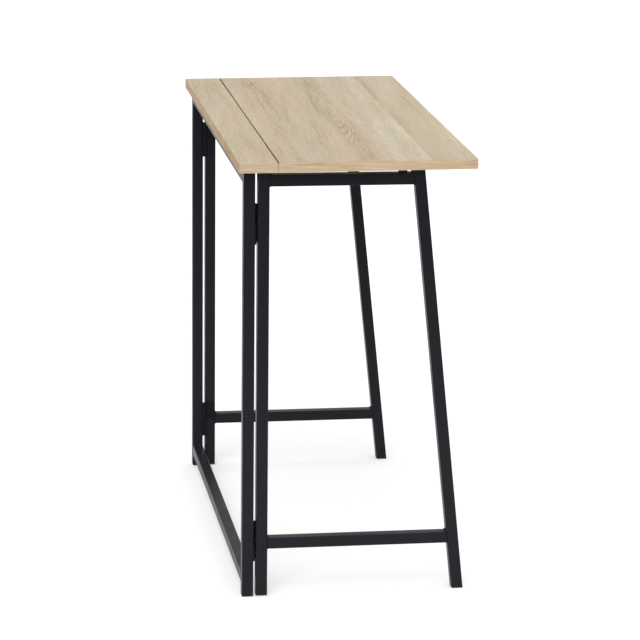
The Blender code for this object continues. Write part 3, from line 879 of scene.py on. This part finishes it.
staves = [(share, (grey, grey, grey, 1)) for share, grey in STAVE_TONES]
bands = ramp(tree, spread(tree, across, cad_low.y, cad_high.y), staves)
tone = plus(tone, bands, -0.5)
oak = ramp(tree, tone, ((0.22, OAK_DARK), (0.50, OAK_MIDDLE), (0.80, OAK_LIGHT)))
tint = ramp(tree, warmth, ((0.20, OAK_GREYED), (0.80, OAK_WARMED)))
tinted = mixed(tree, 1.0, oak, tint, "MULTIPLY")
pore = spread(tree, streaks(tree, along, lines, 0.014, 0.0007, seed), 0.60, 0.72)
open_grain = times(pore, spread(tree, tone, 0.35, 0.62, 0.60, 0.20))
tree.links.new(mixed(tree, open_grain, tinted, OAK_PORE), shader.inputs["Base Color"])
tree.links.new(spread(tree, tone, 0.3, 0.7, 0.50, 0.42), shader.inputs["Roughness"])
relief = calc(tree, "SUBTRACT", times(tone, 0.3), pore)
bump = add(tree, "ShaderNodeBump", {"Height": relief, "Strength": 0.25, "Distance": 0.00005})
tree.links.new(bump.outputs["Normal"], shader.inputs["Normal"])

oak_band, tree, shader = new_finish("oak_edge_band")
parts = coordinates(tree)
length_way = plus(parts["X"], parts["Y"])
wave = plus(streaks(tree, length_way, parts["Z"], 0.06, 0.012, 4.0), -0.5)
height_way = plus(parts["Z"], times(wave, 0.006))
tone = 0.5
for length, width, share in ((0.10, 0.0060, 0.45), (0.050, 0.0022, 0.80), (0.020, 0.0009, 0.50)):
    streak = plus(streaks(tree, length_way, height_way, length, width, 9.0), -0.5)
    tone = plus(tone, times(streak, share))
band = ramp(tree, tone, ((0.22, BAND_DARK), (0.50, BAND_MIDDLE), (0.80, BAND_LIGHT)))
facing_rear = calc(tree, "ABSOLUTE", coordinates(tree, "Normal")["Y"])
long_edge = spread(tree, facing_rear, 0.5, 0.9)
golden = mixed(tree, spread(tree, parts["X"], cad_low.x, cad_high.x), GOLDEN_NEAR, GOLDEN_FAR)
band = mixed(tree, long_edge, band, golden, "MULTIPLY")
tree.links.new(band, shader.inputs["Base Color"])
tree.links.new(spread(tree, tone, 0.3, 0.7, 0.86, 0.76), shader.inputs["Roughness"])
shader.inputs["Specular IOR Level"].default_value = BAND_SHEEN
bump = add(tree, "ShaderNodeBump", {"Height": tone, "Strength": 0.2, "Distance": 0.00005})
tree.links.new(bump.outputs["Normal"], shader.inputs["Normal"])

# Painted shade: the seam's top edges are coloured dark brown for the shadow in the gap between the boards.
seam_shade, tree, shader = new_finish("dark_seam_seal")
parts = coordinates(tree)
broken_up = spread(tree, streaks(tree, parts["X"], parts["Y"], 0.030, 0.0010, 2.0), 0.45, 0.75)
in_middle = spread(tree, calc(tree, "ABSOLUTE", parts["X"]), *SEAM_SHADE_FADE, 1.0, 0.0)
on_top = spread(tree, parts["Z"], *(cad_high.z - depth for depth in SEAM_SHADE_FADE_DEPTH))
shade_faded = times(in_middle, on_top)
shade_colour = mixed(tree, broken_up, SEAM_SHADE_BROWN, SEAM_SHADE_STREAK)
tree.links.new(mixed(tree, shade_faded, shade_colour, OAK_MIDDLE), shader.inputs["Base Color"])
tree.links.new(spread(tree, broken_up, 0.0, 1.0, 0.90, 0.75), shader.inputs["Roughness"])
shader.inputs["Specular IOR Level"].default_value = SEAM_SHEEN

for node, to_seam in (("top_strip", -1), ("top_leaf", 1)):
    low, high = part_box(node)
    size, middle = high - low, (low + high) / 2
    levels = quarter_round(LOWER_ROUND)
    levels += [(inset, size.z - drop) for inset, drop in reversed(quarter_round(UPPER_ROUND))]
    rows = []
    for inset, rise in levels:
        width, depth = size.x - 2 * inset, size.y - 2 * inset
        free = outline(width, depth, BOARD_CORNER - inset)
        tight = outline(width, depth, max(SEAM_CORNER - inset, SEAM_CORNER / 4))
        lean = to_seam * SEAM_LEAN * (1 - rise / size.z)
        row = [(u, v + lean) if v * to_seam > 0 else corner for corner, (u, v) in zip(free, tight)]
        rows.append([(middle.x + u, middle.y + v, low.z + rise) for u, v in row])
    board = show(f"{node}_board", skin(node, rows))
    stand_for(board, node, oak_face)
    board.data.materials.append(oak_band)
    board.data.materials.append(seam_shade)
    for face in board.data.polygons:
        seam_edge = face.normal.z > 0.1 and face.normal.y * to_seam > 0.15 and abs(face.normal.x) < 0.3
        laminate = abs(face.normal.z) > FLAT_FACE
        face.material_index = 2 if seam_edge else 0 if laminate else 1


# Strip fixings: three pan head screws up through the rear top rail into the strip, each with a plastic spacer
# between rail and strip. The screws are zinc plated, with a cross recess in the head.
HEAD_HEIGHT = 0.0024
HEAD_ROUND = 0.0014
HEAD_STEPS = 5
SHANK = 0.0020
SHANK_PLAIN = 0.020
THREAD_RUNOUT = 0.0005
THREAD_DEPTH = 0.0004
THREAD_PITCH = 0.0014
SPACER_BORE = 0.0023
SPACER_EDGE = 0.0004
PAN_RECESS = (0.0046, 0.0011, 0.0017)
RECESS_FLARE = 1.10
RECESS_CLEAR = 0.0004
RECESS_TIP = 0.55


def cut(mesh_piece, tool, operation="DIFFERENCE"):
    """Cuts a tool's shape out of a piece or joins it on, and removes the tool."""
    change = mesh_piece.modifiers.new("shape", "BOOLEAN")
    change.operation = operation
    change.solver = "EXACT"
    change.object = tool
    graph = bpy.context.evaluated_depsgraph_get()
    shaped = bpy.data.meshes.new_from_object(mesh_piece.evaluated_get(graph))
    mesh_piece.modifiers.remove(change)
    mesh_piece.data = shaped
    bpy.data.objects.remove(tool)


def cross_recess(length, width, depth, level):
    """The tapered cross that a screwdriver sits in, as a tool, sunk upward from a level."""
    rows = []
    for scale, rise in ((RECESS_FLARE, -RECESS_CLEAR), (1.00, 0.0), (RECESS_TIP, depth)):
        a, b = length / 2 * scale, width / 2 * scale
        cross = (
            (a, -b), (a, b), (b, b), (b, a), (-b, a), (-b, b),
            (-a, b), (-a, -b), (-b, -b), (-b, -a), (b, -a), (b, -b))
        rows.append([(x, y, level + rise) for x, y in cross])
    return show("cross_recess", skin("cross_recess", rows))


def threaded(start, end, radius):
    """Profile points of a thread's ridges between two heights, then a point."""
    points = [(radius - THREAD_DEPTH, start)]
    level = start
    while level + THREAD_PITCH < end - radius:
        points += [(radius, level + THREAD_PITCH * 0.5), (radius - THREAD_DEPTH, level + THREAD_PITCH)]
        level += THREAD_PITCH
    return points + [(radius - THREAD_DEPTH, end - radius), (0, end)]


for number in (1, 2, 3):
    node = f"strip_screw_{number}"
    low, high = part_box(node)
    centre = upright_axis(low, high)
    head_radius = (high.x - low.x) / 2
    seat = low.z + HEAD_HEIGHT
    plain_end = seat + SHANK_PLAIN
    rounded = [
        (head_radius - inset, low.z + rise) for inset, rise in quarter_round(HEAD_ROUND, HEAD_STEPS)]
    profile = [(0, low.z)] + rounded + [(head_radius, seat), (SHANK, seat), (SHANK, plain_end)]
    profile += threaded(plain_end + THREAD_RUNOUT, high.z, SHANK)
    screw = show(f"{node}_turned", turned(node, profile))
    cut(screw, cross_recess(*PAN_RECESS, low.z))
    screw.data.transform(Matrix.Translation(centre))
    stand_for(screw, node, zinc_steel)

    node = f"strip_spacer_{number}"
    low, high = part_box(node)
    radius = (high.x - low.x) / 2
    spacer = show(f"{node}_turned", turned(node, (
        (SPACER_BORE, low.z), (radius - SPACER_EDGE, low.z), (radius, low.z + SPACER_EDGE),
        (radius, high.z - SPACER_EDGE), (radius - SPACER_EDGE, high.z), (SPACER_BORE, high.z)), ring=True))
    spacer.data.transform(Matrix.Translation(centre))
    stand_for(spacer, node, black_plastic)


# Leaf hinges: two flat hinges under the seam, pressed from zinc plated strip. The strip's plate has the outer
# knuckles and the leaf's plate the middle one, and each plate is held by two countersunk screws from below.
LEAF_ROLL = 0.0025
LEAF_BORE = 0.0015
LEAF_PLATE = 0.0015
LEAF_PLATE_CORNER = 0.0025
LEAF_PLATE_START = 0.0028
LEAF_PLATE_EDGE = 0.0002
LEAF_KNUCKLE = 0.0194
LEAF_ROLL_GAP = 24
LEAF_PIN_EDGE = 0.0004
LEAF_SCREW_HEAD = 0.0029
LEAF_SCREW_SHANK = 0.0015
LEAF_SCREW_EDGE = 0.0002
LEAF_THREAD_START = 0.0008
FLAT_RECESS = (0.0034, 0.0008, 0.0013)
COUNTERSINK = 0.0002
SINK_BELOW = 0.001
SINK_ABOVE = 0.004

for side in ("left", "right"):
    name = f"leaf_hinge_{side}"
    pin_low, pin_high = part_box(f"{name}_pin")
    axis = (pin_low + pin_high) / 2
    pin_radius = (pin_high.z - pin_low.z) / 2
    crown = pin_radius * CROWN_WIDTH
    half_length = (pin_high.x - pin_low.x) / 2
    pin = show(f"{name}_pin_turned", turned(name, (
        (0, -half_length), (crown, -half_length), (pin_radius, -half_length + LEAF_PIN_EDGE),
        (pin_radius, half_length - LEAF_PIN_EDGE), (crown, half_length), (0, half_length))))
    pin.data.transform(Matrix.Translation(axis) @ Matrix.Rotation(math.pi / 2, 4, "Y"))
    stand_for(pin, f"{name}_pin", zinc_steel)

    for board, towards, places in (("strip", 1, (-1, 1)), ("leaf", -1, (0,))):
        node = f"{name}_{board}_plate"
        low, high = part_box(node)
        edge_y = high.y if towards > 0 else low.y
        start_y = axis.y + towards * LEAF_PLATE_START
        middle = Vector((axis.x, (edge_y + start_y) / 2, 0))
        depth = abs(edge_y - start_y)
        rows = []
        for inset, level in (
                (LEAF_PLATE_EDGE, high.z - LEAF_PLATE), (0, high.z - LEAF_PLATE + LEAF_PLATE_EDGE),
                (0, high.z - LEAF_PLATE_EDGE), (LEAF_PLATE_EDGE, high.z)):
            corners = outline(high.x - low.x - 2 * inset, depth - 2 * inset, LEAF_PLATE_CORNER - inset)
            rows.append([middle + Vector((u, v, level)) for u, v in corners])
        plate = show(f"{node}_pressed", skin(node, rows))
        section = rolled_plate(
            LEAF_ROLL, LEAF_BORE, LEAF_ROLL - LEAF_PLATE, LEAF_ROLL, 2 * LEAF_PLATE_START, LEAF_ROLL_GAP)
        for index in places:
            middle_x = axis.x + index * (high.x - low.x) / 3
            ends = (middle_x - LEAF_KNUCKLE / 2, middle_x + LEAF_KNUCKLE / 2)
            rows = [[Vector((x, axis.y + towards * u, axis.z + v)) for u, v in section] for x in ends]
            cut(plate, show("knuckle", skin("knuckle", rows)), "UNION")
        for number in (1, 2):
            screw_node = f"{name}_{board}_screw_{number}"
            screw_low, screw_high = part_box(screw_node)
            centre = upright_axis(screw_low, screw_high)
            head = screw_low.z
            neck = head + LEAF_SCREW_HEAD - LEAF_SCREW_SHANK
            wide, narrow = LEAF_SCREW_HEAD + COUNTERSINK, LEAF_SCREW_SHANK + COUNTERSINK
            sink = show("countersink", turned("countersink", (
                (0, head - SINK_BELOW), (wide, head - SINK_BELOW), (wide, head), (narrow, neck),
                (narrow, head + SINK_ABOVE), (0, head + SINK_ABOVE))))
            sink.data.transform(Matrix.Translation(centre))
            cut(plate, sink)
            profile = [
                (0, head), (LEAF_SCREW_HEAD - LEAF_SCREW_EDGE, head),
                (LEAF_SCREW_HEAD, head + LEAF_SCREW_EDGE), (LEAF_SCREW_SHANK, neck + LEAF_SCREW_EDGE)]
            profile += threaded(neck + LEAF_THREAD_START, screw_high.z, LEAF_SCREW_SHANK)
            screw = show(f"{screw_node}_turned", turned(screw_node, profile))
            cut(screw, cross_recess(*FLAT_RECESS, head))
            screw.data.transform(Matrix.Translation(centre))
            stand_for(screw, screw_node, zinc_steel)
        stand_for(plate, node, zinc_steel)


# Studio: a plain pale floor, a white surround, a broad soft light overhead and one on the camera's side. The
# floor and the surround show white to the camera and in reflections, and the floor keeps the desk's shadow.
# Each light has the way that it shines, its brightness on a surface that faces it, and its spread in degrees.
FLOOR_RADIUS = 60.0
FLOOR_SIDES = 96
FLOOR_PALE = (0.80, 0.80, 0.80, 1)
FLOOR_LIFT = 0.36
SURROUND = 0.50
LAMPS = (
    ("overhead_light", (0.10, 0.05, -1.0), 0.30, 70.0),
    ("side_light", (0.75, -0.25, -0.60), 0.42, 50.0))
CAMERA_PLACE = Vector((-4.979976, 0.776244, 1.671382))
CAMERA_TURN = math.radians(8.867663)
CAMERA_DIP = math.radians(14.434596)
CAMERA_TILT = math.radians(0.640010)
CAMERA_LENS = 165.5836
CAMERA_FILM = 36.0
CAMERA_REACH = 200.0

floor_mesh = bpy.data.meshes.new("floor")
shape = bmesh.new()
bmesh.ops.create_circle(shape, cap_ends=True, segments=FLOOR_SIDES, radius=FLOOR_RADIUS)
shape.to_mesh(floor_mesh)
shape.free()
floor = bpy.data.objects.new("floor", floor_mesh)
bpy.context.scene.collection.objects.link(floor)
floor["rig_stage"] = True


def seen_directly(tree):
    """1 for what the camera sees, straight or in a reflection, and 0 for the light that falls on things."""
    ray = add(tree, "ShaderNodeLightPath").outputs
    shown = calc(tree, "MAXIMUM", ray["Is Camera Ray"], ray["Is Glossy Ray"])
    return calc(tree, "MAXIMUM", shown, ray["Is Transmission Ray"])


floor_pale = bpy.data.materials.new("pale_floor")
floor_pale.use_nodes = True
tree = floor_pale.node_tree
tree.nodes.remove(tree.nodes["Principled BSDF"])
lift = add(tree, "ShaderNodeEmission", {"Strength": calc(tree, "MULTIPLY", seen_directly(tree), FLOOR_LIFT)})
matt = add(tree, "ShaderNodeBsdfDiffuse", {"Color": FLOOR_PALE})
both = add(tree, "ShaderNodeAddShader", {0: lift.outputs[0], 1: matt.outputs[0]})
tree.links.new(both.outputs[0], tree.nodes["Material Output"].inputs["Surface"])
floor_mesh.materials.append(floor_pale)

world = bpy.data.worlds.new("white_surround")
bpy.context.scene.world = world
world.use_nodes = True
tree = world.node_tree
background = tree.nodes["Background"]
background.inputs["Color"].default_value = (1, 1, 1, 1)
tree.links.new(spread(tree, seen_directly(tree), 0.0, 1.0, SURROUND, 1.0), background.inputs["Strength"])

for name, shines_along, brightness, softness in LAMPS:
    lamp = bpy.data.lights.new(name, "SUN")
    lamp.energy = math.pi * brightness
    lamp.angle = math.radians(softness)
    lamp_object = bpy.data.objects.new(name, lamp)
    lamp_object.rotation_euler = Vector(shines_along).to_track_quat("-Z", "Y").to_euler()
    bpy.context.scene.collection.objects.link(lamp_object)

camera = bpy.data.objects.new("camera", bpy.data.cameras.new("camera"))
bpy.context.scene.collection.objects.link(camera)
bpy.context.scene.camera = camera
camera.data.sensor_width = CAMERA_FILM
camera.data.lens = CAMERA_LENS
camera.data.clip_end = CAMERA_REACH
ahead = Vector((
    math.cos(CAMERA_DIP) * math.cos(CAMERA_TURN), -math.cos(CAMERA_DIP) * math.sin(CAMERA_TURN),
    -math.sin(CAMERA_DIP)))
level_right = Vector((-math.sin(CAMERA_TURN), -math.cos(CAMERA_TURN), 0))
level_up = level_right.cross(ahead)
right = level_right * math.cos(CAMERA_TILT) + level_up * math.sin(CAMERA_TILT)
upward = level_up * math.cos(CAMERA_TILT) - level_right * math.sin(CAMERA_TILT)
camera.matrix_world = Matrix.Translation(CAMERA_PLACE) @ Matrix((right, upward, -ahead)).transposed().to_4x4()

bpy.context.scene.view_settings.view_transform = "Standard"

low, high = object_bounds()
